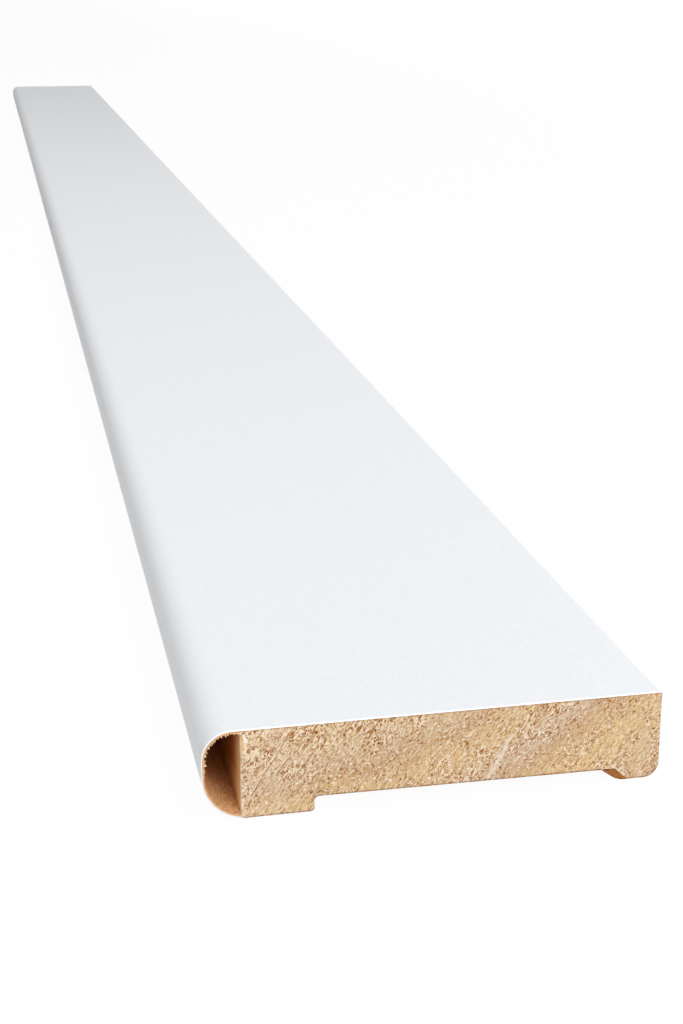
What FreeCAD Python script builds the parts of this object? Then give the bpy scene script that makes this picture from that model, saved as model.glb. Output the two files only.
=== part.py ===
import FreeCAD, Part
import os
from math import radians, tan

# Architrave moulding for a door frame: a solid softwood core, and one sheet of white
# laminate glued over its face and bent round a hollow D-shaped nose on one long edge.
# Lengths are in millimetres and angles in degrees. X runs across the board from the
# nose to the square edge, Y along the board and Z up through the white face. The
# origin is at mid length and mid width, on the plane that the two feet stand on.

# Overall size of the sold length
board_length = 2100.0
board_width = 110.0
board_thickness = 22.0

# Laminate sheet, and the nose that it is bent into
laminate_thickness = 1.0
nose_projection = 9.0
nose_top_radius = 7.1
nose_bottom_radius = 10.9
square_edge_arris = 0.7

# Front foot of the core, under the nose side
front_foot_width = 17.0
front_foot_arris = 0.9

# Recess between the feet, which clears an uneven wall; it is shallower toward the rear foot
recess_front_depth = 3.7
recess_rear_depth = 3.0
recess_fillet = 1.2

# Rear foot, reached from the recess by a slope
rear_foot_width = 10.3
rear_slope_angle = 35.5
rear_slope_blend = 4.8
rear_corner_radius = 3.8

# Places worked out from the sizes
nose_tip = -board_width / 2
square_edge = board_width / 2
core_face = nose_tip + nose_projection
core_top = board_thickness - laminate_thickness
recess_front = core_face + front_foot_width
slope_bottom = square_edge - rear_foot_width
slope_top = slope_bottom - recess_rear_depth / tan(radians(rear_slope_angle))


def usable_radii(corners):
    """Radii of the corners, each limited so that its arc fits the walls beside it."""
    count = len(corners)
    points = [FreeCAD.Vector(x, 0, z) for x, z, radius in corners]
    reach_per_radius = []
    for i in range(count):
        back = points[i - 1] - points[i]
        ahead = points[(i + 1) % count] - points[i]
        reach_per_radius.append(1 / tan(back.getAngle(ahead) / 2))
    radii = [radius for x, z, radius in corners]
    for i in range(count):
        after = (i + 1) % count
        wall = (points[after] - points[i]).Length
        needed = radii[i] * reach_per_radius[i] + radii[after] * reach_per_radius[after]
        if needed > wall:
            radii[i] *= wall / needed
            radii[after] *= wall / needed
    return points, radii, reach_per_radius


def rounded_outline(corners):
    """Closed wire in the XZ plane through corners (x, z, radius), each rounded by an arc."""
    points, radii, reach_per_radius = usable_radii(corners)
    count = len(points)
    edges = []
    arc_ends = []
    for i in range(count):
        back = (points[i - 1] - points[i]).normalize()
        ahead = (points[(i + 1) % count] - points[i]).normalize()
        reach = radii[i] * reach_per_radius[i]
        start = points[i] + back * reach
        end = points[i] + ahead * reach
        if radii[i] > 0:
            to_centre = (back + ahead).normalize()
            centre_distance = (reach ** 2 + radii[i] ** 2) ** 0.5
            middle = points[i] + to_centre * (centre_distance - radii[i])
            edges.append(Part.Arc(start, middle, end).toShape())
        arc_ends.append((start, end))
    for i in range(count):
        line_start = arc_ends[i][1]
        line_end = arc_ends[(i + 1) % count][0]
        if (line_end - line_start).Length > 1e-6:
            edges.append(Part.LineSegment(line_start, line_end).toShape())
    return Part.Wire(Part.sortEdges(edges)[0])


def long_stock(corners):
    """Solid of the rounded outline, carried along the whole board."""
    section = Part.Face(rounded_outline(corners))
    section.translate(FreeCAD.Vector(0, -board_length / 2, 0))
    return section.extrude(FreeCAD.Vector(0, board_length, 0))


def board_envelope():
    """Outer form of the whole board, with the round nose and the square edge's arris."""
    return long_stock([
        (nose_tip, 0, nose_bottom_radius),
        (square_edge, 0, 0),
        (square_edge, board_thickness, square_edge_arris),
        (nose_tip, board_thickness, nose_top_radius),
    ])


def wood_core():
    """Softwood core: front foot, shallow recess, slope and a rear foot with a round corner."""
    stock = long_stock([
        (core_face, 0, 0),
        (recess_front, 0, front_foot_arris),
        (recess_front, recess_front_depth, recess_fillet),
        (slope_top, recess_rear_depth, 0),
        (slope_bottom, 0, rear_slope_blend),
        (square_edge, 0, rear_corner_radius),
        (square_edge, core_top, 0),
        (core_face, core_top, 0),
    ])
    return stock.common(board_envelope()).removeSplitter()


def laminate_skin():
    """One sheet: flat on the core, round the hollow nose, its free end butted on the core."""
    inner_tip = nose_tip + laminate_thickness
    inside = long_stock([
        (inner_tip, laminate_thickness, max(0, nose_bottom_radius - laminate_thickness)),
        (board_width, laminate_thickness, 0),
        (board_width, core_top, 0),
        (inner_tip, core_top, max(0, nose_top_radius - laminate_thickness)),
    ])
    core_side = long_stock([
        (core_face, -board_thickness, 0),
        (board_width, -board_thickness, 0),
        (board_width, core_top, 0),
        (core_face, core_top, 0),
    ])
    return board_envelope().cut(inside).cut(core_side).removeSplitter()


def main():
    os.makedirs("parts", exist_ok=True)
    for name, solid in (("wood_core", wood_core()), ("laminate_skin", laminate_skin())):
        solid.exportStep("parts/" + name + ".step")
        print(name, len(solid.Solids), solid.isValid(), round(solid.Volume), solid.BoundBox)


main()
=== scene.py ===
import bpy
import numpy as np
from mathutils import Matrix, Vector


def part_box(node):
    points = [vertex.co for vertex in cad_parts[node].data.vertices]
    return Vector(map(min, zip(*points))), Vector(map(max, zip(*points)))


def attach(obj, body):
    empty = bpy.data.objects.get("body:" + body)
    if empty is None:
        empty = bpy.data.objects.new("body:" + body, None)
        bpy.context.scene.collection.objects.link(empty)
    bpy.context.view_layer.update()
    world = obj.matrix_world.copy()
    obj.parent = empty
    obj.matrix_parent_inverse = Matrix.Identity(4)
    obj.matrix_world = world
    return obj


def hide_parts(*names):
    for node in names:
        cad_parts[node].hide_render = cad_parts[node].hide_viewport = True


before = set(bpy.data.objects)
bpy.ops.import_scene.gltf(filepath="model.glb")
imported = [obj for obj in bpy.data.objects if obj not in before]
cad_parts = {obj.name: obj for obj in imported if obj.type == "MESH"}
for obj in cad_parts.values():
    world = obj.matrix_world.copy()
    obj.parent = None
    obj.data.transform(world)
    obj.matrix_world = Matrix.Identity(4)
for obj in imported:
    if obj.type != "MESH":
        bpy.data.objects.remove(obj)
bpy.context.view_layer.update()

mm = 0.001
coreLow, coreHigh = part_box("wood_core")
skinLow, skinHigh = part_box("laminate_skin")

# where the CAD says the board is, in millimetres
noseTip = skinLow.x / mm
coreFace = coreLow.x / mm
squareEdge = skinHigh.x / mm
coreTop = coreHigh.z / mm
boardTop = skinHigh.z / mm
nearEnd = skinLow.y / mm
farEnd = skinHigh.y / mm
laminate = boardTop - coreTop
boardSize = [round(span, 1) for span in (squareEdge - noseTip, boardTop, farEnd - nearEnd)]
print("frame loaded: board", *boardSize, "mm")


# small tools for noise and outlines

def smoothStep(value, low, high):
    # 3t^2 - 2t^3 of how far value has come from low to high
    t = np.clip((value - low) / (high - low), 0, 1)
    return t * t * (3 - 2 * t)


def latticeNoise(u, v, seed):
    # gradient noise, about -1 to 1: a random slope at each whole-number point,
    # blended between the four round a place by 6t^5 - 15t^4 + 10t^3
    iu, iv = np.floor(u).astype(np.int64), np.floor(v).astype(np.int64)
    fu, fv = u - iu, v - iv

    def corner(du, dv):
        h = (iu + du) * 374761393 + (iv + dv) * 668265263 + seed * 144269504
        h = ((h ^ (h >> 13)) * 1274126177) & 0xFFFFFFFF
        turn = ((h ^ (h >> 16)) & 0xFFFF) * (2 * np.pi / 65536)
        return np.cos(turn) * (fu - du) + np.sin(turn) * (fv - dv)

    su = fu ** 3 * (fu * (fu * 6 - 15) + 10)
    sv = fv ** 3 * (fv * (fv * 6 - 15) + 10)
    low = corner(0, 0) * (1 - su) + corner(1, 0) * su
    high = corner(0, 1) * (1 - su) + corner(1, 1) * su
    return 1.5 * (low * (1 - sv) + high * sv)


def straight(start, end, spacing):
    # points start + t (end - start), the end left out
    start, end = np.array(start, float), np.array(end, float)
    count = max(1, int(round(np.linalg.norm(end - start) / spacing)))
    t = np.linspace(0, 1, count, endpoint=False)[:, None]
    return start + t * (end - start)


def arc(centre, radius, fromDegrees, toDegrees, spacing):
    # points centre + radius (cos a, sin a), the last left out
    a0, a1 = np.radians(fromDegrees), np.radians(toDegrees)
    count = max(2, int(round(abs(a1 - a0) * radius / spacing)))
    a = np.linspace(a0, a1, count, endpoint=False)
    return np.stack([centre[0] + radius * np.cos(a), centre[1] + radius * np.sin(a)], 1)


def roundedPath(corners, spacing):
    # straight runs between corners (x, z, radius), each corner turned by a tangent arc
    points, radii = np.array([c[:2] for c in corners], float), [c[2] for c in corners]
    runs, last = [], points[0]
    for i in range(1, len(points)):
        start = end = points[i]
        if radii[i] > 0:
            back, ahead = points[i - 1] - points[i], points[i + 1] - points[i]
            back, ahead = back / np.linalg.norm(back), ahead / np.linalg.norm(ahead)
            half = np.arccos(np.clip(back @ ahead, -1, 1)) / 2
            start, end = (points[i] + way * radii[i] / np.tan(half) for way in (back, ahead))
        if np.linalg.norm(start - last) > 1e-6:
            runs.append(straight(last, start, spacing))
        if radii[i] > 0:
            middle = points[i] + (back + ahead) / np.linalg.norm(back + ahead) * radii[i] / np.sin(half)
            a0, a1 = (np.degrees(np.arctan2(*(p - middle)[::-1])) for p in (start, end))
            runs.append(arc(middle, radii[i], a0, a0 + (a1 - a0 + 180) % 360 - 180, spacing))
        last = end
    return np.concatenate(runs + [points[-1:]])


# long stock: one cross-section carried from the near cut end to the far one

rimFollow = 12.0      # the rings lose a cut end's relief over this distance, mm
sharpDegrees = 32.0   # the outline's turns above this keep a sharp edge along the board


def longStock(name, first, last, across, nearCap, farCap, stations, ragged, sideSlots, capSlots,
              softRim=()):
    # The section is ruled: point (i, j) = first[i] + across[j] (last[i] - first[i]).
    # Each cap is that grid pushed in from its cut plane by its own relief. The side is the
    # section's outline at every station, shifted by ragged(section, distance, y), and its
    # rings follow the rim in by depth exp(-distance / rimFollow).
    nu, nv = len(first), len(across)
    section = first[:, None, :] + across[None, :, None] * (last - first)[:, None, :]
    x, z = section[..., 0], section[..., 1]
    nearDepth, nearMarks = nearCap(x, z)
    farDepth, farMarks = farCap(x, z)
    iu, iv = np.arange(nu), np.arange(nv)
    loopU = np.concatenate([iu, np.full(nv - 1, nu - 1), iu[-2::-1], np.zeros(nv - 2, int)])
    loopV = np.concatenate([np.zeros(nu, int), iv[1:], np.full(nu - 1, nv - 1), iv[-2:0:-1]])
    side = np.repeat([0, 1, 2, 3], [nu - 1, nv - 1, nu - 1, nv - 1])
    outline = section[loopU, loopV]
    size = len(outline)
    caps, rings = [], []
    for y, depth, sign, order in ((nearEnd, nearDepth, 1, stations), (farEnd, farDepth, -1, stations[::-1])):
        pulled = section + ragged(section, 0, y)
        caps.append(np.stack([pulled[..., 0], y + sign * depth, pulled[..., 1]], -1).reshape(-1, 3))
        for fromEnd in order:
            pulled = (section + ragged(section, fromEnd, y))[loopU, loopV]
            inward = fromEnd + depth[loopU, loopV] * np.exp(-fromEnd / rimFollow)
            rings.append(np.stack([pulled[:, 0], y + sign * inward, pulled[:, 1]], 1))
    points = np.concatenate(caps + rings) * mm

    grid = iu[:, None] * nv + iv[None, :]
    a, b, c, d = grid[:-1, :-1], grid[1:, :-1], grid[1:, 1:], grid[:-1, 1:]
    nearFaces = np.stack([a, b, c, d], -1).reshape(-1, 4)
    farFaces = nearFaces[:, ::-1] + nu * nv
    capLoop = loopU * nv + loopV
    ringStart = 2 * nu * nv + np.arange(len(rings)) * size
    loops = [capLoop] + [start + np.arange(size) for start in ringStart] + [capLoop + nu * nv]
    faces, slots = [nearFaces, farFaces], [np.ravel(capSlots), np.ravel(capSlots)]
    for near, far in zip(loops[:-1], loops[1:]):
        faces.append(np.stack([near, far, np.roll(far, -1), np.roll(near, -1)], 1))
        slots.append(np.array(sideSlots)[side])
    faces, slots = np.concatenate(faces), np.concatenate(slots)

    mesh = bpy.data.meshes.new(name)
    mesh.vertices.add(len(points))
    mesh.vertices.foreach_set("co", points.astype(np.float32).ravel())
    mesh.loops.add(faces.size)
    mesh.loops.foreach_set("vertex_index", faces.astype(np.int32).ravel())
    mesh.polygons.add(len(faces))
    mesh.polygons.foreach_set("loop_start", np.arange(0, faces.size, 4, dtype=np.int32))
    mesh.polygons.foreach_set("material_index", slots.astype(np.int32))
    mesh.update(calc_edges=True)
    mesh.polygons.foreach_set("use_smooth", np.ones(len(faces), bool))

    # sharp edges: round both cut ends, and along the board where the outline turns a corner
    ahead = np.roll(outline, -1, 0) - outline
    behind = outline - np.roll(outline, 1, 0)
    crossed = ahead[:, 0] * behind[:, 1] - ahead[:, 1] * behind[:, 0]
    turn = np.degrees(np.abs(np.arctan2(crossed, (ahead * behind).sum(1))))
    onLoop, capOf = np.full((2, len(points)), -1)
    for number, loop in enumerate(loops):
        onLoop[loop] = np.arange(size)
        capOf[loop] = {0: 0, len(loops) - 1: 1}.get(number, -1)
    edges = np.empty(len(mesh.edges) * 2, np.int32)
    mesh.edges.foreach_get("vertices", edges)
    e0, e1 = edges.reshape(-1, 2).T
    sharp = (capOf[e0] >= 0) & (capOf[e0] == capOf[e1]) & ~np.isin(side[onLoop[e0]], softRim)
    sharp |= (onLoop[e0] >= 0) & (onLoop[e0] == onLoop[e1]) & (turn[onLoop[e0]] > sharpDegrees)
    mesh.attributes.new("sharp_edge", "BOOLEAN", "EDGE").data.foreach_set("value", sharp)
    for key in nearMarks:
        values = np.zeros(len(points), np.float32)
        values[:nu * nv] = nearMarks[key].ravel()
        values[nu * nv:2 * nu * nv] = farMarks[key].ravel()
        mesh.attributes.new(key, "FLOAT", "POINT").data.foreach_set("value", values)
    mesh.validate()
    piece = bpy.data.objects.new(name, mesh)
    bpy.context.collection.objects.link(piece)
    print(name, len(faces) * 2, "triangles")
    return piece


# the softwood core: sawn end grain at both ends, planed faces between them

sawDegrees = 55.0   # the blade dragged the fibres of the cut ends this way, seen from the near end
core = dict(
    frontFootWidth=17.0, footArris=0.9, recessFrontDepth=3.7, recessRearDepth=3.0, recessFillet=1.2,
    rearFootWidth=10.3, slopeDegrees=35.5, slopeBlend=4.8, cornerRadius=3.8,
    spacing=0.245, rows=84,   # grid of the cut ends, about one pixel of the picture
    pith=(6.0, 105.0),        # middle of the growth rings, from the core's face and the floor
    tornRings=(93.4, 100.8, 112.8),   # distances from the pith where the fibres tore along a ring
    grooveDepth=0.02, pitDepth=0.08, pits=48, flecks=50,
    edgeRounding=0.05, edgeWidth=0.75, darkUndersideHeight=0.6,
    bite=0.06, biteReach=0.9,         # how far the rim is broken in at the cut, and along the board
)
# what only the photographed end has, measured from the core's face and the floor in mm
wear = dict(
    # lens-shaped worn arris by the hollow with a painted highlight along its border, white on its upper end,
    # and a painted highlight line down the sharp arris below it
    arrisFrom=14.2, arrisTo=21.3, arrisWidth=1.3, arrisDepth=0.8, whiteBorderFrom=18.3, sharpTo=12.5,
    # pale smeared streak: its two ends
    ray=(58.6, 4.2, 64.1, 14.2), rayWidth=0.42,
    # break-out on the rear slope: its front, height of its top, two points of its side, depth, and
    # where the pale lip round it ends
    breakFrom=86.3, breakTop=3.12, breakSide=(90.0, 3.15, 92.5, 0.85), breakDepth=2.3,
    lipTo=92.0, lipTop=3.4,
    # long scratches of the blade, each with its two ends
    scratches=((5.3, 10.6, 8.0, 14.5), (8.0, 14.5, 10.6, 19.2), (4.0, 4.5, 6.9, 8.8),
               (8.0, 10.0, 10.8, 13.8), (2.8, 6.1, 4.6, 9.4), (13.6, 10.6, 16.4, 14.5),
               (9.5, 6.1, 10.7, 7.9), (7.0, 20.2, 7.4, 18.2)),
    # resin canals
    canals=((4.9, 8.4), (6.9, 13.0), (7.3, 10.6), (9.3, 15.4), (17.2, 13.9), (19.1, 7.2), (20.1, 13.4),
            (23.3, 7.9), (27.2, 9.1), (30.8, 9.8)),
    # small tears at the step, each with its two ends and radius
    tears=((1.6, 2.95, 1.95, 2.75, 0.24), (3.3, 2.9, 3.6, 3.2, 0.18), (16.1, 4.75, 16.5, 4.95, 0.34),
           (17.3, 4.4, 18.2, 4.95, 0.26), (16.85, 3.5, 17.15, 3.9, 0.26), (16.4, 2.5, 16.85, 3.2, 0.20),
           (19.0, 4.6, 20.4, 4.35, 0.22)),
)
recessFront = coreFace + core["frontFootWidth"]
slopeBottom = squareEdge - core["rearFootWidth"]
slopeTop = slopeBottom - core["recessRearDepth"] / np.tan(np.radians(core["slopeDegrees"]))
underside = roundedPath([
    (coreFace, 0, 0),
    (recessFront, 0, core["footArris"]),
    (recessFront, core["recessFrontDepth"], core["recessFillet"]),
    (slopeTop, core["recessRearDepth"], 0),
    (slopeBottom, 0, core["slopeBlend"]),
    (squareEdge, 0, core["cornerRadius"]),
    (squareEdge, core["cornerRadius"], 0),
], core["spacing"])
# the grid's columns lean left over the step's upright wall, so that none leaves the wood
run = np.concatenate([[0], np.cumsum(np.linalg.norm(np.diff(underside, axis=0), axis=1))])
stepFoot = core["frontFootWidth"] - core["footArris"]
stepHead = stepFoot + core["recessFrontDepth"] + 1.5
topX = np.interp(run, [0, stepFoot, stepHead, run[-1]],
                 [coreFace, coreFace + stepFoot - 2.5, recessFront + 0.2, squareEdge])
upperside = np.stack([topX, np.full(len(topX), coreTop)], 1)
wallZ = np.arange(0, coreTop, core["spacing"])
rearZ = np.maximum(wallZ, core["cornerRadius"])
rimPoints = np.concatenate([
    underside, upperside, np.stack([np.full(len(wallZ), coreFace), wallZ], 1),
    np.stack([np.full(len(wallZ), squareEdge), rearZ], 1)]).astype(np.float32)


def fibreMat(x, z, seed):
    # Torn end grain: short curved grooves where stretched, warped noise crosses nought,
    # exp(-(n / thin)^2), kept only in patches; long ones follow the saw's direction.
    turn = np.radians(sawDegrees)

    def warp(first):
        wide = 0.65 * latticeNoise(x / 2.0, z / 2.0, seed + first)
        return wide + 0.24 * latticeNoise(x / 0.75, z / 0.75, seed + first + 2)

    wx, wz = x + warp(1), z + warp(2)

    def grooves(direction, length, width, thin, low, high, number, px=wx, pz=wz):
        p = px * np.cos(direction) + pz * np.sin(direction)
        q = pz * np.cos(direction) - px * np.sin(direction)
        n = latticeNoise(p / length + 3.7 * number, q / width - 1.3 * number, seed + 10 + number)
        patch = latticeNoise(0.9 * p / length + 5.1 * number, 0.9 * q / width, seed + 20 + number)
        return np.exp(-(n / thin) ** 2) * smoothStep(patch, low, high)

    curly = grooves(turn, 2.0, 1.15, 0.22, -0.35, 0.25, 1)
    cross = grooves(-0.35, 1.6, 1.0, 0.20, -0.05, 0.40, 3)
    scratch = grooves(turn, 5.0, 0.80, 0.09, 0.20, 0.55, 4, x + 0.2 * wx, z + 0.2 * wz)
    rough = latticeNoise(x / 7, z / 5, seed + 31) + 0.35 * latticeNoise(x / 2.5, z / 2.5, seed + 32)
    rough = 0.40 + 0.60 * smoothStep(rough, -0.45, 0.35)
    return np.clip(rough * np.maximum(curly, 0.8 * cross) + 0.8 * scratch, 0, 1)


def spots(x, z, seed, count, small, large):
    # the highest of exp(-(distance / radius)^2) over random places
    rng = np.random.default_rng(seed)
    total = np.zeros_like(x)
    for i in range(count):
        px, pz = rng.uniform(coreFace, squareEdge), rng.uniform(0, coreTop)
        radius, weight, squash = rng.uniform(small, large), rng.uniform(0.5, 1.0), rng.uniform(0.7, 1.3)
        near = np.hypot(x - px, (z - pz) * squash)
        total = np.maximum(total, weight * np.exp(-(near / radius) ** 2))
    return total


def capsule(x, z, x0, z0, x1, z1):
    # distance from the straight line between two points
    run = np.array([x1 - x0, z1 - z0])
    along = np.clip(((x - x0) * run[0] + (z - z0) * run[1]) / (run @ run), 0, 1)
    return np.hypot(x - x0 - along * run[0], z - z0 - along * run[1])


def wornPlaces(x, z, seed):
    # the worn arris with a painted highlight along its border, the smeared streak, the break-out with its
    # pale lip and the tears at the step, each as a weight from 0 to 1, and how deep the break-out goes; x is
    # measured from the core's face
    rise = np.clip((z - wear["arrisFrom"]) / (wear["arrisTo"] - wear["arrisFrom"]), 0, 1)
    width = wear["arrisWidth"] * np.sin(np.pi * rise ** 1.25) ** 0.8
    width = width * (1 + 0.15 * latticeNoise(z / 1.1, x * 0, seed + 70))
    worn = 1 - np.clip(x / np.maximum(width, 0.02), 0, 1)
    # painted highlight along the border of the worn arris
    borderHighlight = np.exp(-((x - width) / 0.21) ** 2) * smoothStep(width, 0.1, 0.5)
    borderHighlight = borderHighlight * smoothStep(latticeNoise(z / 0.7, x * 0, seed + 74), -0.6, 0.1)
    streak = latticeNoise((x + 1.8 * z) / 4.0, (1.8 * x - z) / 0.6, seed + 73)
    ray = capsule(x, z, *wear["ray"]) + 0.35 * latticeNoise(x / 1.4, z / 1.4, seed + 71) + 0.45 * streak
    ray = 1 - smoothStep(ray, 0.0, wear["rayWidth"] * 1.8)
    # the break-out lies under a ceiling and left of a sloping side, and gets deeper up from the outline
    down = np.radians(core["slopeDegrees"])
    above = (x + coreFace - slopeTop) * np.sin(down) + (z - core["recessRearDepth"]) * np.cos(down)
    above = np.minimum(above, z)
    uneven = 0.10 * latticeNoise(x / 0.7, z / 0.7, seed + 72)
    x0, z0, x1, z1 = wear["breakSide"]
    side = ((z0 - z) * (x1 - x0) - (x - x0) * (z0 - z1)) / np.hypot(x1 - x0, z1 - z0) + uneven
    ceiling = wear["breakTop"] - z + uneven
    front, lipTo, lipTop = wear["breakFrom"], wear["lipTo"], wear["lipTop"]
    torn = smoothStep(side, 0, 0.3) * smoothStep(ceiling, 0, 0.25) * smoothStep(x, front, front + 0.5)
    depth = np.minimum(wear["breakDepth"] * smoothStep(above, 0.0, 1.3), 1.5 * np.clip(side, 0, None))
    lip = np.exp(-((np.minimum(side, ceiling) + 0.16) / 0.16) ** 2) * smoothStep(x, front, front + 0.9)
    lip = lip * (1 - smoothStep(x, lipTo, lipTo + 1.4)) * (1 - smoothStep(z, lipTop, lipTop + 0.3))
    tears = np.zeros_like(x)
    for x0, z0, x1, z1, radius in wear["tears"]:
        off = capsule(x, z, x0, z0, x1, z1) + 0.12 * latticeNoise(x / 0.5, z / 0.5, seed + 75)
        tears = np.maximum(tears, 1 - smoothStep(off, 0.4 * radius, 1.2 * radius))
    return worn, borderHighlight, ray, torn, torn * depth, lip, tears


def sawLines(x, z, seed):
    # exp(-(distance / width)^2) from each long scratch of the blade, broken up by noise, a
    # painted highlight beside it on the upper left where raised fibres catch the light, and the resin canals
    lineWidth, canalRadius = 0.17, 0.22
    lines, beside, dots = np.zeros((3,) + x.shape)
    broken = 0.45 + 0.55 * smoothStep(latticeNoise(x / 0.9, z / 0.9, seed + 80), -0.3, 0.3)
    for ends in wear["scratches"]:
        lines = np.maximum(lines, np.exp(-(capsule(x, z, *ends) / lineWidth) ** 2))
        beside = np.maximum(beside, np.exp(-(capsule(x + 0.26, z - 0.17, *ends) / lineWidth) ** 2))
    for px, pz in wear["canals"]:
        dots = np.maximum(dots, np.exp(-(np.hypot(x - px, z - pz) / canalRadius) ** 2))
    return lines * broken, 0.7 * beside * broken, dots


def endGrain(seed, photographed):
    # a cut end: how far the wood lies behind the cut plane is the sum of each mark times its depth,
    # and the marks, from 0 to 1, go to the material too
    def cap(x, z):
        flat = np.stack([x.ravel(), z.ravel()], 1).astype(np.float32)
        gap = np.sqrt(((flat[:, None, :] - rimPoints[None, ::2, :]) ** 2).sum(2).min(1)).reshape(x.shape)
        gap = gap + 0.25 * latticeNoise(x / 0.8, z / 0.8, seed + 40)
        edge = 1 - smoothStep(gap, 0.05, core["edgeWidth"])
        fromPith = np.hypot(x - coreFace - core["pith"][0], z - core["pith"][1])
        fromPith = fromPith + 0.5 * latticeNoise(x / 4, z / 4, seed + 41)
        tornRing = np.max([np.exp(-((fromPith - d) / 0.30) ** 2) for d in core["tornRings"]], 0)
        tornRing = tornRing * smoothStep(latticeNoise(x / 1.3, z / 1.3, seed + 42), -0.25, 0.35)
        groove = np.maximum(fibreMat(x, z, seed), 0.8 * tornRing)
        # painted highlight: a copy of the grooves moved 0.28 mm right and 0.2 mm down lights their lower
        # right sides
        ahead = fibreMat(x - 0.28, z + 0.20, seed)
        tip = 0.5 * np.clip(np.maximum(ahead, 0.7 * tornRing) - 0.45 * groove, 0, 1)
        pit = spots(x, z, seed + 50, core["pits"], 0.16, 0.28)
        fleck = spots(x, z, seed + 60, core["flecks"], 0.12, 0.24)
        # the wood is darker along the edge of the underside
        height = z - np.interp(x, underside[:, 0], underside[:, 1])
        darkUnderside = edge * (1 - smoothStep(height, 0.2, core["darkUndersideHeight"]))
        worn, borderHighlight, ray, torn, tornDepth, lip, tears, lines = np.zeros((8,) + x.shape)
        if photographed:
            lines, beside, dots = sawLines(x - coreFace, z, seed)
            groove, tip, pit = np.maximum(groove, lines), np.maximum(tip, beside), np.maximum(pit, dots)
            worn, borderHighlight, ray, torn, tornDepth, lip, tears = wornPlaces(x - coreFace, z, seed)
            # painted highlight: a bright cream line down the sharp arris below the worn part
            uneven = latticeNoise(z / 1.2, x / 0.9, seed + 76)
            sharp = 1 - smoothStep(x - coreFace - 0.35 * uneven, 0.10, 0.50)
            sharp = sharp * (1 - smoothStep(z, wear["sharpTo"], wear["sharpTo"] + 2.0))
            highlightStrength = 0.55 + 0.35 * smoothStep(uneven, -0.3, 0.3)
            lip = np.maximum.reduce([lip, 0.85 * borderHighlight, highlightStrength * sharp])
        calm = np.maximum(smoothStep(worn, 0.02, 0.3), torn)
        groove, tip, fleck, pit = (m * (1 - 0.85 * calm) * (1 - 0.6 * ray) for m in (groove, tip, fleck, pit))
        # tip also takes the break-out's pale lip and the painted highlights of the arris and of the worn
        # border
        tip = np.maximum(tip, lip)
        fleck = np.maximum(fleck, borderHighlight * smoothStep(z, wear["whiteBorderFrom"], wear["whiteBorderFrom"] + 0.9))
        depth = 0.05 + core["grooveDepth"] * (groove - 0.5 * tip)
        depth = depth + core["pitDepth"] * np.maximum(pit, tears) ** 2
        depth = depth + core["edgeRounding"] * edge ** 2 + wear["arrisDepth"] * worn ** 1.3 + tornDepth
        marks = dict(groove=groove, tip=tip, pit=pit, fleck=fleck, darkUnderside=darkUnderside, torn=torn, worn=worn,
                     calm=calm, ray=ray, tears=tears, scored=lines)
        return np.clip(depth, 0, None), marks
    return cap


def coreRagged(section, fromEnd, y):
    # fibres broken at the cut: the free outline drops in by bite |noise| exp(-distance / biteReach)
    seed = 5 if y < 0 else 6
    shift = np.zeros_like(section)
    for rim in (np.s_[:, 0], np.s_[-1, :]):
        line = section[rim]
        ahead = np.gradient(line, axis=0)
        inward = np.stack([-ahead[:, 1], ahead[:, 0]], 1) / np.linalg.norm(ahead, axis=1)[:, None]
        bite = core["bite"] * np.abs(latticeNoise(line[:, 0] / 0.7, line[:, 1] / 0.7, seed))
        shift[rim] += inward * (bite * np.exp(-fromEnd / core["biteReach"]))[:, None]
    return shift


# rings of the long sides, by distance from the nearer cut end
stations = np.array([0.45, 1.3, 3.5, 12.0, 90.0])
coreBoard = longStock(
    "core_board", underside, upperside, np.linspace(0, 1, core["rows"] + 1),
    endGrain(11, True), endGrain(203, False), stations, coreRagged,
    sideSlots=(1, 1, 1, 1), capSlots=np.zeros((len(underside) - 1, core["rows"]), int))
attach(coreBoard, "root")
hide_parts("wood_core")


# the laminate: one sheet over the top and round the hollow nose

sheet = dict(
    noseTopRadius=7.1, noseBottomRadius=10.9, arris=0.7,
    across=(0, 0.09, 0.17, 0.25, 0.42, 0.64, 0.84, 1.0),   # grid through the sheet's thickness
    decorShare=0.25,          # white decor paper and overlay, the rest is brown kraft
    fine=0.10, coarse=0.25,   # grid along the sheet, round the nose and over the core
    noseThinner=0.32,         # the sheet is sanded this much thinner where it is bent
    toothPitch=0.70, toothHeight=0.50,   # the saw's teeth scallop the kraft round the hollow
    cutArris=0.12,            # the white face is rounded over this depth at the cut
)


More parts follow.
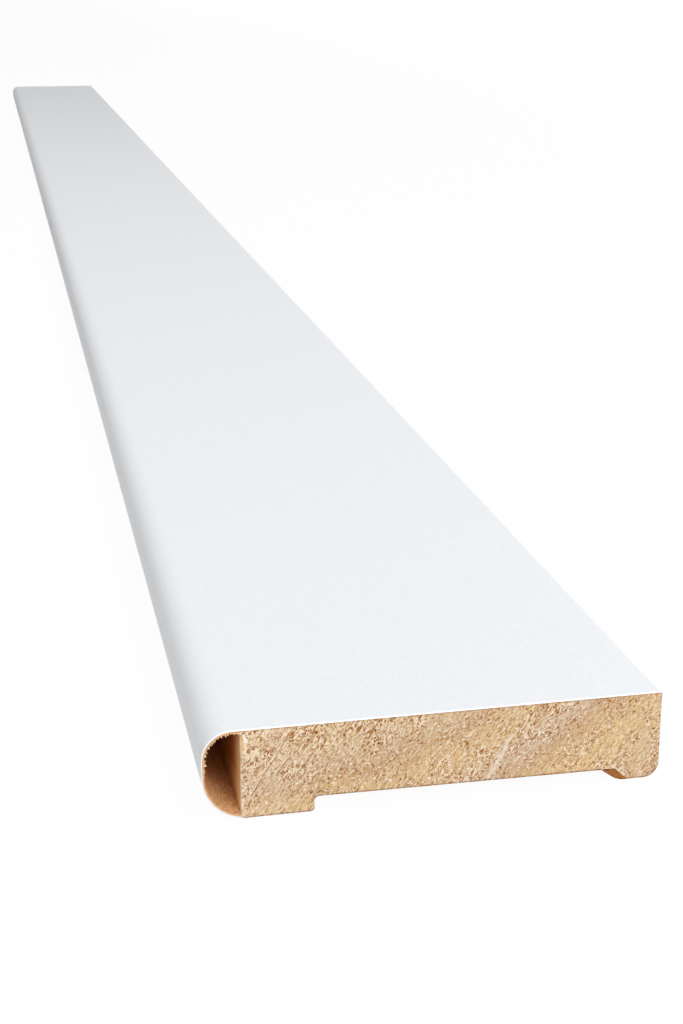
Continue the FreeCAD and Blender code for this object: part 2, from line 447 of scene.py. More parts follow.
def sheetPath(depth):
    # the sheet's line at this depth below its white face, from the square edge to the free end:
    # straight, quarter turn, straight, and an arc that ends on the core's face
    top, tip = boardTop - depth, noseTip + depth
    rTop, rBottom = sheet["noseTopRadius"] - depth, sheet["noseBottomRadius"] - depth
    cTop = np.array([noseTip + sheet["noseTopRadius"], boardTop - sheet["noseTopRadius"]])
    cBottom = np.array([noseTip + sheet["noseBottomRadius"], sheet["noseBottomRadius"]])
    endTurn = 270 - np.degrees(np.arcsin((cBottom[0] - coreFace) / rBottom))
    spacings = (sheet["coarse"], sheet["fine"], sheet["coarse"], sheet["fine"])
    lengths = (squareEdge - cTop[0], np.pi / 2 * sheet["noseTopRadius"], cTop[1] - cBottom[1],
               np.pi / 2 * sheet["noseBottomRadius"])
    t = [np.linspace(0, 1, int(round(span / spacing)), endpoint=False)[:, None]
         for span, spacing in zip(lengths, spacings)]
    turns = [np.radians(90 + 90 * t[1]), np.radians(180 + (endTurn - 180) * np.append(t[3], [[1]], 0))]
    return np.concatenate([
        (squareEdge, top) + t[0] * (cTop[0] - squareEdge, 0),
        cTop + rTop * np.hstack([np.cos(turns[0]), np.sin(turns[0])]),
        (tip, cTop[1]) + t[2] * (0, cBottom[1] - cTop[1]),
        cBottom + rBottom * np.hstack([np.cos(turns[1]), np.sin(turns[1])])])


decorLine, glueLine = sheetPath(0), sheetPath(laminate)
across = np.array(sheet["across"])
sheetAlong = np.concatenate([[0], np.cumsum(np.linalg.norm(np.diff(decorLine, axis=0), axis=1))])
intoSheet = (glueLine - decorLine) / np.linalg.norm(glueLine - decorLine, axis=1)[:, None]


def roundedArris(section):
    # a point of the square corner that lies further than the radius from the arris's centre
    # moves back to the arc: centre + radius (point - centre) / distance
    centre = np.array([squareEdge - sheet["arris"], boardTop - sheet["arris"]])
    away = section - centre
    distance = np.linalg.norm(away, axis=-1, keepdims=True)
    outside = (away > 0).all(-1, keepdims=True) & (distance > sheet["arris"])
    return np.where(outside, centre + away * sheet["arris"] / np.maximum(distance, 1e-6), section)


def teeth(seed):
    # teeth where sin(2 pi s) is high, of uneven pitch and height, only where the kraft faces the
    # hollow and above its middle; also the weight that says where the kraft faces the hollow
    still = sheetAlong * 0
    s = sheetAlong / sheet["toothPitch"] + 0.9 * latticeNoise(sheetAlong / 1.9, still, seed)
    high = np.clip(0.75 + 1.2 * latticeNoise(sheetAlong / 0.8, still + 9, seed + 1), 0.1, 1.3)
    free = smoothStep(coreFace - glueLine[:, 0], -0.2, 0.6)
    upper = smoothStep(glueLine[:, 1], 10.0, 14.0)
    return smoothStep(np.sin(2 * np.pi * s), -0.5, 0.7) * high * free * upper, free


def sheetRagged(section, fromEnd, y):
    # the free kraft edge stands into the hollow by the height of its scallops, and behind them
    # the sheet is thinner
    scallop, free = teeth(31 if y < 0 else 47)
    weight = smoothStep(across, 0.45, 1.0)[None, :, None]
    push = scallop * sheet["toothHeight"] * np.exp(-fromEnd / 0.35) - free * sheet["noseThinner"]
    push = push[:, None, None] * weight
    return roundedArris(section) - section + intoSheet[:, None, :] * push


def sheetRim(seed):
    # the sheet's cut: it lies back by cutArris (1 - sqrt(1 - t^2)) at the rounded white face and by
    # uneven grit in the kraft, and comes forward in the fuzz on the kraft's scallops
    def cap(x, z):
        scallop, free = teeth(seed)
        along, deep = np.broadcast_arrays(sheetAlong[:, None], across[None, :])
        brown = smoothStep(deep, 0.20, 0.34)
        grit = latticeNoise(along / 0.33, deep / 0.4, seed + 3)
        fuzz = np.clip(scallop[:, None] * smoothStep(deep, 0.55, 0.95) + 0.3 * grit * brown, 0, 1)
        rounded = 1 - np.sqrt(1 - np.clip(1 - deep / 0.22, 0, 1) ** 2)
        depth = 0.02 + sheet["cutArris"] * rounded + 0.05 * brown + 0.05 * grit * brown - 0.04 * fuzz
        overCore = np.broadcast_to(1 - free[:, None], x.shape)
        return np.clip(depth, 0, None), dict(fuzz=fuzz, cut=np.ones_like(x), overCore=overCore)
    return cap


# 0 is the white decor, 1 the brown kraft behind it
layers = (0.5 * (across[1:] + across[:-1]) > sheet["decorShare"]).astype(int)
laminateSheet = longStock(
    "laminate_sheet", decorLine, glueLine, across, sheetRim(31), sheetRim(47), stations, sheetRagged,
    sideSlots=(0, 1, 1, 1), capSlots=np.broadcast_to(layers, (len(decorLine) - 1, len(layers))),
    softRim=(0,))
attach(laminateSheet, "root")
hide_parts("laminate_skin")
print("pieces made")


# materials: colours are sRGB hex values, turned linear here

def linear(hexCode):
    parts = [int(hexCode[i:i + 2], 16) / 255 for i in (1, 3, 5)]
    return [c / 12.92 if c <= 0.04045 else ((c + 0.055) / 1.055) ** 2.4 for c in parts] + [1.0]


def add(tree, kind, links=None, stops=None, **settings):
    # one node of a kind such as Math: settings are its own properties, links its sockets' values or
    # (node, socket), and stops a ramp's places with their hex colours
    made = tree.nodes.new("ShaderNode" + kind)
    for key, value in settings.items():
        setattr(made, key, value)
    for key, value in (links or {}).items():
        if isinstance(value, tuple) and isinstance(value[0], bpy.types.Node):
            tree.links.new(value[0].outputs[value[1]], made.inputs[key])
        else:
            made.inputs[key].default_value = value
    for number, (place, colour) in enumerate(stops or []):
        elements = made.color_ramp.elements
        element = elements[number] if number < len(elements) else elements.new(place)
        element.position, element.color = place, linear(colour)
    return made


def newMaterial(name):
    material = bpy.data.materials.new(name)
    material.use_nodes = True
    material.node_tree.nodes.clear()
    return material, material.node_tree


def placeOn(tree):
    # the place on the board in millimetres, which every pattern is measured in
    where = add(tree, "TexCoord")
    scaled = add(tree, "VectorMath", {0: (where, "Object"), 1: (1 / mm,) * 3}, operation="MULTIPLY")
    return scaled, "Vector"


def strayed(tree, place, reach, scale, detail, dimensions="2D"):
    # place + reach (noise colour - 0.5)
    noise = add(tree, "TexNoise", {"Vector": place, "Scale": scale, "Detail": detail},
                noise_dimensions=dimensions)
    middle = add(tree, "VectorMath", {0: (noise, "Color"), 1: (0.5, 0.5, 0.5)}, operation="SUBTRACT")
    moved = add(tree, "VectorMath", {0: (middle, "Vector"), 1: reach, 2: place}, operation="MULTIPLY_ADD")
    return moved, "Vector"


def blendOver(tree, below, share, hexCode):
    # the colour below, covered by another by share
    mixed = add(tree, "Mix", {"Factor": share, 6: below, 7: linear(hexCode)}, data_type="RGBA")
    return mixed, 2


def layMarks(tree, below, marks, strength, fading, hexCode):
    # the colour below, covered by another by marks times strength times fading, at most 1
    weighed = add(tree, "Math", {0: marks, 1: strength}, operation="MULTIPLY")
    share = add(tree, "Math", {0: (weighed, "Value"), 1: fading}, operation="MULTIPLY", use_clamp=True)
    return blendOver(tree, below, (share, "Value"), hexCode), (share, "Value")


def dress(tree, colour, roughness, height, strength, depth, specular=0.0):
    # the surface: its colour, how rough it is, and a relief of this depth in mm. Fibres scatter
    # all the light that reaches them, so wood and paper have no specular layer.
    bump = add(tree, "Bump", {"Height": height, "Strength": strength, "Distance": depth * mm})
    surface = add(tree, "BsdfPrincipled", {
        "Base Color": colour, "Roughness": roughness, "IOR": 1.5, "Specular IOR Level": specular,
        "Normal": (bump, "Normal")})
    add(tree, "OutputMaterial", {"Surface": (surface, "BSDF")})


# growth rings of the core, the same in both of its materials
rings = dict(
    wander=1.8, wanderSize=16.0,   # how far the rings stray from circles, over what distance, mm
    alongShare=0.01,               # along the board they change this much slower
    near=80.0, far=142.0,          # distances from the pith that the colours below span, mm
    colours=((80, "#DAC296"), (88, "#D9C19A"), (93, "#D4BE9C"), (96.5, "#C8AF8E"), (99.5, "#BF9E76"),
             (101, "#CEB081"), (106, "#D8BB8B"), (109, "#D5BB93"), (110.5, "#D3C0A6"), (113.5, "#CCB8A1"),
             (115, "#C2A485"), (117, "#CAA97F"), (121, "#D5B787"), (123, "#DBBB86"), (128, "#DFC18D"),
             (131, "#D9BF97"), (136, "#D5BB94"), (142, "#D9BE97")),
    # how strongly the saw tore the fibres of each ring: white is most
    torn=((80, "#FFFFFF"), (94, "#FFFFFF"), (96.5, "#DCDCDC"), (104, "#D8D8D8"), (107, "#FAFAFA"),
          (111, "#FAFAFA"), (113, "#DCDCDC"), (126, "#D8D8D8"), (130, "#E6E6E6"), (142, "#E6E6E6")),
)


def ringRamps(tree, place):
    # the rings' colour and how torn they are, both by distance from the pith: place in mm, made
    # nearly constant along the board, strays by noise and is measured from the pith
    flat = add(tree, "Mapping", {
        "Vector": place, "Scale": (1, rings["alongShare"], 1),
        "Location": (-coreFace - core["pith"][0], 0, -core["pith"][1])})
    moved = strayed(tree, (flat, "Vector"), (4 * rings["wander"],) * 3, 1 / rings["wanderSize"], 2.0, "3D")
    section = add(tree, "VectorMath", {0: moved, 1: (1, 0, 1)}, operation="MULTIPLY")
    distance = add(tree, "VectorMath", {0: (section, "Vector")}, operation="LENGTH")
    span = rings["far"] - rings["near"]
    share = add(tree, "MapRange", {
        "Value": (distance, "Value"), "From Min": rings["near"], "From Max": rings["far"]})
    return [add(tree, "ValToRGB", {"Fac": (share, "Result")},
                stops=[((d - rings["near"]) / span, colour) for d, colour in ramp])
            for ramp in (rings["colours"], rings["torn"])]


# Marks of the sawn end grain, strewn one to a cell: turn in degrees, cell in mm, along the mark and
# across it, radius of the mark as a share of the cell, and the share of the cells that have one.
# Single wood fibres are too fine to show, so a stroke stands for a torn bundle of them.
strokes = dict(
    brown=(
        dict(turn=52, cell=(1.9, 0.50), radius=0.42, share=0.43),
        dict(turn=-38, cell=(1.3, 0.50), radius=0.41, share=0.33),
        dict(turn=12, cell=(1.4, 0.50), radius=0.41, share=0.31),
        dict(turn=82, cell=(1.5, 0.50), radius=0.41, share=0.34),
        dict(turn=57, cell=(11.0, 0.55), radius=0.33, share=0.18),
    ),
    dark=(
        dict(turn=40, cell=(1.15, 0.85), radius=0.32, share=0.17),
        dict(turn=-60, cell=(1.05, 0.80), radius=0.30, share=0.12),
    ),
    pits=(dict(turn=25, cell=(2.3, 1.9), radius=0.16, share=0.20),),
    cream=(
        dict(turn=50, cell=(2.1, 0.50), radius=0.39, share=0.48),
        dict(turn=-45, cell=(1.5, 0.50), radius=0.38, share=0.37),
        dict(turn=5, cell=(1.6, 0.50), radius=0.38, share=0.35),
        dict(turn=56, cell=(9.0, 0.52), radius=0.34, share=0.22),
    ),
    spacing=13.7,   # the patterns are this far apart, mm
    weakest=0.65,   # strength of the weakest mark
)
sawn = dict(
    endsApart=300.0,   # the two ends take parts of the pattern this far apart, mm
    # the wood is paler beside the hollow: width in mm, share, colour
    beside=(22.0, 0.28, "#F2E2D2"),
    bend=0.8, bendScale=0.55,   # strokes stray this far, mm; all noise scales here are per mm
    # noise scale, detail, roughness, the levels between which it acts, share, colour
    cloud=(0.22, 3.0, 0.6, 0.35, 0.7, 0.14, "#C4935C"),
    fine=(1.0, 3.0, 0.65, 0.64, 0.36, 0.30, "#B88E56"), fineCell=(1.1, 0.40),
    areaScale=0.17, area=(0.40, 0.57, 0.58, 1.16),   # smoother and rougher areas: levels and strengths
    # painted highlight: the brown strokes' pale copy is laid by the place moved this much, mm
    shift=(0.22, -0.16, 0),
    calmed=0.45,   # worn and broken wood shows this much less of the strokes
    # Kind of stroke, radius times, what place it is laid by, pattern, colour, share, and how far it
    # stands up. A pale copy of the brown strokes lies a little to their upper left: a painted highlight on
    # fibres that stand up beside them. Dark marks and pits each have a wider orange-brown ring round them.
    layers=(
        ("brown", 1.0, "shifted", 0, "#F0E4D2", 0.55, 0.4), ("cream", 1.0, "bent", 9, "#F0E4D2", 0.90, 0.4),
        ("brown", 1.0, "bent", 0, "#9C6420", 1.0, -0.5), ("dark", 1.35, "bent", 5, "#BC7C30", 0.50, 0.0),
        ("dark", 1.0, "bent", 5, "#74400A", 1.0, -0.8), ("pits", 1.8, "flat", 30, "#B87830", 0.75, 0.0),
        ("pits", 1.0, "flat", 30, "#542A06", 1.0, -1.0)),
    # marks of the mesh itself, laid over the rest in this order, with colour and share
    meshMarks=(
        ("groove", "#A0681E", 0.40), ("scored", "#84480E", 0.75), ("ray", "#E8DACA", 0.65),
        ("calm", "#EBCBA0", 0.35), ("worn", "#E2B888", 0.60), ("torn", "#B0722F", 0.90),
        # tip is mostly painted highlight on the grooves' lit sides, the arrises and the worn border, with
        # pale raised fibres
        ("darkUnderside", "#80480E", 0.85), ("tears", "#7A4212", 0.90), ("tip", "#F6E8D2", 0.80),
        ("pit", "#703400", 1.0), ("fleck", "#FFFCF6", 0.95)),
)


def strewn(tree, flat, kinds, first):
    # The cells are stretched and turned, so a round mark in a cell becomes a stroke: 1 within
    # half its radius of the cell's point and 0 at the radius, in the chosen share of the cells
    total = None
    for number, kind in enumerate(kinds):
        cells = add(tree, "Mapping", {
            "Vector": flat, "Location": (strokes["spacing"] * (number + first), 0, 0),
            "Rotation": (0, 0, np.radians(kind["turn"])), "Scale": (*kind["cell"], 1)}, vector_type="TEXTURE")
        cell = add(tree, "TexVoronoi", {"Vector": (cells, "Vector"), "Scale": 1.0}, voronoi_dimensions="2D")
        chance = add(tree, "SeparateColor", {"Color": (cell, "Color")})
        has = add(tree, "Math", {0: (chance, "Red"), 1: kind["share"]}, operation="LESS_THAN")
        mark = add(tree, "MapRange", {
            "Value": (cell, "Distance"), "From Min": kind["radius"] * 0.5, "From Max": kind["radius"],
            "To Min": 1.0, "To Max": 0.0}, interpolation_type="SMOOTHSTEP")
        strength = add(tree, "MapRange", {
            "Value": (chance, "Green"), "To Min": strokes["weakest"], "To Max": 1.0})
        here = add(tree, "Math", {0: (mark, "Result"), 1: (has, "Value")}, operation="MULTIPLY")
        shown = add(tree, "Math", {0: (here, "Value"), 1: (strength, "Result")}, operation="MULTIPLY")
        total = shown if total is None else add(
            tree, "Math", {0: (total, "Value"), 1: (shown, "Value")}, operation="MAXIMUM")
    return total, "Value"


def sawnLook(tree, place, lively):
    # Colour and height of sawn end grain: ring colours, soft clouds and fine fibres, and over
    # them brown and cream strokes bent by noise and small dark pits. lively fades the strokes.
    base, torn = ringRamps(tree, place)
    # the section's own plane, another part of the pattern at each end
    axes = add(tree, "SeparateXYZ", {"Vector": place})
    end = add(tree, "Math", {0: (axes, "Y")}, operation="SIGN")
    moved = add(tree, "Math", {0: (end, "Value"), 1: sawn["endsApart"], 2: (axes, "X")},
                operation="MULTIPLY_ADD")
    section = add(tree, "CombineXYZ", {"X": (moved, "Value"), "Y": (axes, "Z")})
    flat = (section, "Vector")
    bent = strayed(tree, flat, (sawn["bend"], sawn["bend"], 0), sawn["bendScale"], 0.0)
    # painted highlight: the place where the brown strokes' pale copy is laid
    shifted = add(tree, "VectorMath", {0: bent, 1: sawn["shift"]}, operation="ADD")
    along = add(tree, "Mapping", {
        "Vector": bent, "Rotation": (0, 0, np.radians(sawDegrees)), "Scale": (*sawn["fineCell"], 1)},
        vector_type="TEXTURE")
    width, most, hexCode = sawn["beside"]
    beside = add(tree, "MapRange", {
        "Value": (axes, "X"), "From Min": coreFace, "From Max": coreFace + width,
        "To Min": most, "To Max": 0.0})
    last = blendOver(tree, (base, "Color"), (beside, "Result"), hexCode)
    for where, key in ((flat, "cloud"), ((along, "Vector"), "fine")):
        scale, detail, roughness, low, high, most, hexCode = sawn[key]
        noise = add(tree, "TexNoise", {
            "Vector": where, "Scale": scale, "Detail": detail, "Roughness": roughness}, noise_dimensions="2D")
        share = add(tree, "MapRange", {
            "Value": (noise, "Fac"), "From Min": low, "From Max": high, "To Max": most})
        last = blendOver(tree, last, (share, "Result"), hexCode)
    height = (noise, "Fac")
    low, high, least, most = sawn["area"]
    area = add(tree, "TexNoise", {"Vector": flat, "Scale": sawn["areaScale"], "Detail": 2.0},
               noise_dimensions="2D")
    rough = add(tree, "MapRange", {
        "Value": (area, "Fac"), "From Min": low, "From Max": high, "To Min": least, "To Max": most})
    onRing = add(tree, "Math", {0: (rough, "Result"), 1: (torn, "Color")}, operation="MULTIPLY")
    rougher = add(tree, "Math", {0: (onRing, "Value"), 1: lively}, operation="MULTIPLY")
    places = dict(flat=flat, bent=bent, shifted=(shifted, "Vector"))
    for kind, grown, where, first, hexCode, strength, rise in sawn["layers"]:
        kinds = [dict(one, radius=one["radius"] * grown) for one in strokes[kind]]
        marks = strewn(tree, places[where], kinds, first)
        last, share = layMarks(tree, last, marks, strength, (rougher, "Value"), hexCode)
        raised = add(tree, "Math", {0: share, 1: rise, 2: height}, operation="MULTIPLY_ADD")
        height = (raised, "Value")
    return last, height


def sawnEndGrain():
    # Softwood end grain, cross-cut by a coarse circular saw: matt and fuzzy, its fibres torn and
    # dragged along the cut, with dark pits and white flecks
    material, tree = newMaterial("softwood_end_grain_sawn")
    calm = add(tree, "Attribute", attribute_name="calm")
    lively = add(tree, "Math", {0: (calm, "Fac"), 1: -sawn["calmed"], 2: 1.0},
                 operation="MULTIPLY_ADD", use_clamp=True)
    last, height = sawnLook(tree, placeOn(tree), (lively, "Value"))
    for mark, hexCode, strength in sawn["meshMarks"]:
        level = add(tree, "Attribute", attribute_name=mark)
        last = layMarks(tree, last, (level, "Fac"), strength, 1.0, hexCode)[0]
    dress(tree, last, 0.85, height, 0.2, 0.04)
    return material


planed = dict(
    grain=(2.6, 0.06, 2.6),   # fibres to a mm across, along and up the board
    # painted shade: the face in the hollow is darker and redder, fading out between these depths behind the
    # face
    wallShade=(0.1, 0.5), wallShadeShare=0.85, wallShadeColour="#CA8242",
    # painted light: paler over this depth from the cut, where light reaches into the hollow, and over more of
    # it below this height
    paintedLightDepth=14.0, paintedLightMore=20.0, paintedLightHeight=9.0, paintedLightShare=0.8, paintedLightColour="#EBC594",
)


def planedLongGrain():
    # Softwood planed along the board: straight pale grain, faint growth lines, dry and matt
    material, tree = newMaterial("softwood_long_grain_planed")
    place = placeOn(tree)
    base = ringRamps(tree, place)[0]
    streak = add(tree, "Mapping", {"Vector": place, "Scale": planed["grain"]})
    fibre = add(tree, "TexNoise", {
        "Vector": (streak, "Vector"), "Scale": 1.0, "Detail": 4.0, "Roughness": 0.65})
    shade = add(tree, "MapRange", {
        "Value": (fibre, "Fac"), "From Min": 0.3, "From Max": 0.7, "To Min": 0.80, "To Max": 1.06})
    tint = add(tree, "VectorMath", {0: (base, "Color"), 1: (shade, "Result")}, operation="MULTIPLY")
    axes = add(tree, "SeparateXYZ", {"Vector": place})
    # painted shade: the face in the hollow is darker and redder
    wallShadeFrom, wallShadeTo = (coreFace + depth for depth in planed["wallShade"])
    shadedWall = add(tree, "MapRange", {
        "Value": (axes, "X"), "From Min": wallShadeFrom, "From Max": wallShadeTo,
        "To Min": planed["wallShadeShare"], "To Max": 0.0})
    last = blendOver(tree, (tint, "Vector"), (shadedWall, "Result"), planed["wallShadeColour"])
    # painted light: paler near each cut, further from it near the floor, where light reaches into the hollow
    size = add(tree, "Math", {0: (axes, "Y")}, operation="ABSOLUTE")
    lower = add(tree, "MapRange", {
        "Value": (axes, "Z"), "From Max": planed["paintedLightHeight"], "To Min": planed["paintedLightMore"], "To Max": 0.0})
    reach = add(tree, "Math", {0: (size, "Value"), 1: (lower, "Result")}, operation="ADD")
    litNearCut = add(tree, "MapRange", {
        "Value": (reach, "Value"), "From Min": farEnd - planed["paintedLightDepth"], "From Max": farEnd,
        "To Max": planed["paintedLightShare"]})
    last = blendOver(tree, last, (litNearCut, "Result"), planed["paintedLightColour"])
    dress(tree, last, 0.75, (fibre, "Fac"), 0.6, 0.08)
    return material


decor = dict(
    colours=((0.35, "#EBEEF1"), (0.65, "#F0F2F5")), mottleScale=1.3,
    pearlScale=1.6, pearlDepth=0.02, roughness=0.42,   # the pressed texture, per mm and in mm
)


def whiteDecor():
    # Melamine-faced decor paper pressed with a fine pearl texture: cool white with a satin sheen
    material, tree = newMaterial("melamine_laminate_white_pressed")
    place = placeOn(tree)
    mottle = add(tree, "TexNoise", {"Vector": place, "Scale": decor["mottleScale"], "Detail": 3.0})
    base = add(tree, "ValToRGB", {"Fac": (mottle, "Fac")}, stops=decor["colours"])
    pearl = add(tree, "TexNoise", {"Vector": place, "Scale": decor["pearlScale"], "Detail": 1.5})
    dress(tree, (base, "Color"), decor["roughness"], (pearl, "Fac"), 0.5, decor["pearlDepth"], specular=0.5)
    return material


kraft = dict(
    colours=((0.30, "#AC6636"), (0.5, "#BE763F"), (0.72, "#D2965C")),
    paintedLightDepth=34.0,   # fibres stand up, and painted light makes the kraft paler, over this distance from the cut, mm
    paintedLightColour="#EEBE8E", frayBend=1.4, frayScale=0.6,
    frayStrokes=(("brown", 20, "#9E5C22", 0.55), ("cream", 26, "#F9D29A", 0.85)),
    # painted shade in the lower corner: it starts this far from the core and fades between these heights
    cornerShadeWidth=0.7, cornerShadeFade=(1.0, 3.0), cornerShadeColour="#6E3814", cornerShadeShare=0.25,
    lineFrom=0.75, lineTo=0.4, lineColour="#A06830", lineShare=0.4,   # depths below the white face
    rimColour="#CA9A6C", rimShare=0.75, tipColour="#FBE0BA",
)


def brownKraft():
    # Resin-soaked kraft paper behind the decor: warm brown, matt, streaked along the sheet,
    # its cut edge paler and fibrous, over the core as light as the wood that it is glued to
    material, tree = newMaterial("kraft_paper_phenolic_pressed")
    place = placeOn(tree)
    stretched = add(tree, "Mapping", {"Vector": place, "Scale": (0.9, 0.12, 0.9)})
    streak = add(tree, "TexNoise", {
        "Vector": (stretched, "Vector"), "Scale": 1.0, "Detail": 5.0, "Roughness": 0.7})
    base = add(tree, "ValToRGB", {"Fac": (streak, "Fac")}, stops=kraft["colours"])
    # near the cut it is frayed, cream and dark fibres somewhat longer along the board, and painted light
    # makes it paler where light reaches into the hollow
    axes = add(tree, "SeparateXYZ", {"Vector": place})
    unroll = add(tree, "Math", {0: (axes, "X"), 1: (axes, "Z")}, operation="SUBTRACT")
    deep = add(tree, "Math", {0: (axes, "Y"), 1: 0.6}, operation="MULTIPLY")
    unrolled = add(tree, "CombineXYZ", {"X": (deep, "Value"), "Y": (unroll, "Value")})
    bend = (kraft["frayBend"], kraft["frayBend"], 0)
    bent = strayed(tree, (unrolled, "Vector"), bend, kraft["frayScale"], 1.0)
    size = add(tree, "Math", {0: (axes, "Y")}, operation="ABSOLUTE")
    litNearCut = add(tree, "MapRange", {
        "Value": (size, "Value"), "From Min": farEnd - kraft["paintedLightDepth"], "From Max": farEnd},
        interpolation_type="SMOOTHSTEP")
    paler = add(tree, "Math", {0: (litNearCut, "Result"), 1: (litNearCut, "Result")}, operation="MULTIPLY")
    last = blendOver(tree, (base, "Color"), (paler, "Value"), kraft["paintedLightColour"])
    for kind, first, hexCode, strength in kraft["frayStrokes"]:
        marks = strewn(tree, bent, strokes[kind][:3], first)
        last = layMarks(tree, last, marks, strength, (paler, "Value"), hexCode)[0]
    # painted shade: darker in the corner between the sheet and the core, near the bottom
    corner = add(tree, "MapRange", {
        "Value": (axes, "X"), "From Min": coreFace - kraft["cornerShadeWidth"], "From Max": coreFace - 0.1},
        interpolation_type="SMOOTHSTEP")
    fadeFrom, fadeTo = kraft["cornerShadeFade"]
    low = add(tree, "MapRange", {
        "Value": (axes, "Z"), "From Min": fadeFrom, "From Max": fadeTo,
        "To Min": kraft["cornerShadeShare"], "To Max": 0.0})
    last = layMarks(tree, last, (corner, "Result"), (low, "Result"), 1.0, kraft["cornerShadeColour"])[0]
    cut = add(tree, "Attribute", attribute_name="cut")
    rim = layMarks(tree, last, (cut, "Fac"), kraft["rimShare"], 1.0, kraft["rimColour"])[0]
    look, relief = sawnLook(tree, place, 1.0)
    overCore = add(tree, "Attribute", attribute_name="overCore")
    wooden = add(tree, "Mix", {"Factor": (overCore, "Fac"), 6: rim, 7: look}, data_type="RGBA")
    # over the core a darker line shows where the decor lies on the kraft
    line = add(tree, "MapRange", {
        "Value": (axes, "Z"), "From Min": boardTop - kraft["lineFrom"],
        "From Max": boardTop - kraft["lineTo"], "To Max": kraft["lineShare"]})
    lined = layMarks(tree, (wooden, 2), (line, "Result"), (overCore, "Fac"), 1.0, kraft["lineColour"])[0]
    fuzz = add(tree, "Attribute", attribute_name="fuzz")
    tipped = blendOver(tree, lined, (fuzz, "Fac"), kraft["tipColour"])
    fibre = add(tree, "TexNoise", {"Vector": place, "Scale": 1.4, "Detail": 2.0})
    both = add(tree, "Math", {0: (fibre, "Fac"), 1: relief}, operation="ADD")
    dress(tree, tipped, 0.8, (both, "Value"), 0.6, 0.05)
    return material


for material in (sawnEndGrain(), planedLongGrain()):
    coreBoard.data.materials.append(material)
for material in (whiteDecor(), brownKraft()):
    laminateSheet.data.materials.append(material)
print("materials made")


# floor, light and camera
stage = dict(
    floorSize=60.0, floorColour="#FFFFFF", bounceColour="#B4B4B4",   # as seen, and as it lights the board
    whiteNear=0.96, whiteFrom=0.15, whiteAll=1.2,   # share of plain white, and between where it grows to all
    worldColour="#FFFFFF", worldStrength=0.20,
    # name, place, what it points at, size in metres and power in watts
    lamps=(("over", (0.8, -0.9, 2.4), (0, -0.5, 0), 1.6, 29.0),
           ("front", (0.6, -3.2, 2.0), (0, -0.7, 0), 1.6, 42.0),
           ("low", (-0.15, -3.4, 0.45), (0, -1.0, 0), 1.0, 16.5),
           ("side", (-1.1, -2.1, 0.4), (0, -1.1, 0), 0.9, 8.4),
           ("back", (2.2, 2.3, 0.6), (0, 0.6, 0), 1.2, 9.0)),
)


def inSight(tree):
    # 1 for the camera's own rays, and 1 for those and for rays off a shiny face or through a clear one
    sight = add(tree, "LightPath")
    direct = add(tree, "Math", {0: (sight, "Is Camera Ray"), 1: (sight, "Is Glossy Ray")},
                 operation="ADD", use_clamp=True)
    seen = add(tree, "Math", {0: (direct, "Value"), 1: (sight, "Is Transmission Ray")},
               operation="ADD", use_clamp=True)
    return (sight, "Is Camera Ray"), (seen, "Value")


def paleFloor():
    # seen by the camera it is mostly plain white, the rest of it takes the shadow, and further
    # than whiteAll metres from the board's middle line it is all white
    material, tree = newMaterial("studio_floor_painted")
    where = add(tree, "TexCoord")
    axes = add(tree, "SeparateXYZ", {"Vector": (where, "Object")})
    away = add(tree, "Math", {0: (axes, "X")}, operation="ABSOLUTE")
    near = add(tree, "MapRange", {
        "Value": (away, "Value"), "From Min": stage["whiteFrom"], "From Max": stage["whiteAll"],
        "To Min": stage["whiteNear"], "To Max": 1.0}, interpolation_type="SMOOTHSTEP")
    byCamera, seen = inSight(tree)
    share = add(tree, "Math", {0: seen, 1: (near, "Result")}, operation="MULTIPLY")
    paint = blendOver(tree, linear(stage["bounceColour"]), byCamera, stage["floorColour"])
    matt = add(tree, "BsdfDiffuse", {"Color": paint})
    white = add(tree, "Emission", {"Color": linear("#FFFFFF"), "Strength": 1.0})
    mixed = add(tree, "MixShader", {"Fac": (share, "Value"), 1: (matt, "BSDF"), 2: (white, "Emission")})
    add(tree, "OutputMaterial", {"Surface": (mixed, "Shader")})
    return material


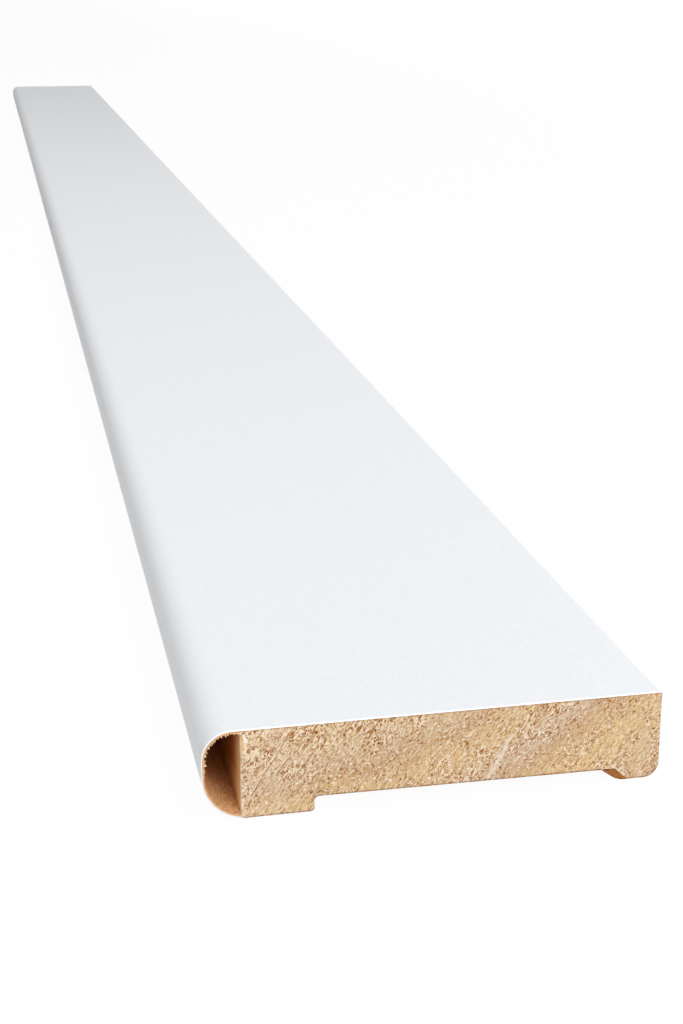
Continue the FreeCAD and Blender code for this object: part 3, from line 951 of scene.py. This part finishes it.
half = stage["floorSize"] / 2
floorMesh = bpy.data.meshes.new("floor")
floorCorners = [(-half, -half, 0), (half, -half, 0), (half, half, 0), (-half, half, 0)]
floorMesh.from_pydata(floorCorners, [], [(0, 1, 2, 3)])
floorMesh.materials.append(paleFloor())
floor = bpy.data.objects.new("floor", floorMesh)
bpy.context.collection.objects.link(floor)

world = bpy.data.worlds.new("studio")
world.use_nodes = True
bpy.context.scene.world = world
air = world.node_tree
air.nodes.clear()
glow = add(air, "MapRange", {"Value": inSight(air)[1], "To Min": stage["worldStrength"], "To Max": 1.0})
sky = add(air, "Background", {"Color": linear(stage["worldColour"]), "Strength": (glow, "Result")})
add(air, "OutputWorld", {"Surface": (sky, "Background")})

for name, place, target, size, power in stage["lamps"]:
    lamp = bpy.data.lights.new(name + "_softbox", "AREA")
    lamp.shape = "SQUARE"
    lamp.size = size
    lamp.energy = power
    holder = bpy.data.objects.new(name + "_softbox", lamp)
    holder.location = place
    holder.rotation_euler = (Vector(target) - holder.location).to_track_quat("-Z", "Y").to_euler()
    bpy.context.collection.objects.link(holder)

# solved from the photograph's long edges and cut end
view = dict(place=(-94.47, -1388.97, 187.75), pitch=15.286, yaw=11.943, roll=-0.049,
            lens=58.4, sensor=36.0, shift=-0.0901)
pitch, yaw, roll = (np.radians(view[key]) for key in ("pitch", "yaw", "roll"))
forward = Vector((np.sin(yaw) * np.cos(pitch), np.cos(yaw) * np.cos(pitch), -np.sin(pitch)))
level = Vector((np.cos(yaw), -np.sin(yaw), 0))
upright = level.cross(forward)
right = level * np.cos(roll) - upright * np.sin(roll)
up = level * np.sin(roll) + upright * np.cos(roll)
lens = bpy.data.cameras.new("camera")
lens.sensor_width = view["sensor"]
lens.lens = view["lens"]
lens.shift_y = view["shift"]
lens.clip_start, lens.clip_end = 0.01, 200.0
camera = bpy.data.objects.new("camera", lens)
turned = Matrix((right, up, -forward)).transposed().to_4x4()
camera.matrix_world = Matrix.Translation(Vector(view["place"]) * mm) @ turned
bpy.context.collection.objects.link(camera)
bpy.context.scene.camera = camera
bpy.context.scene.view_settings.view_transform = "Standard"
print("stage and camera made")
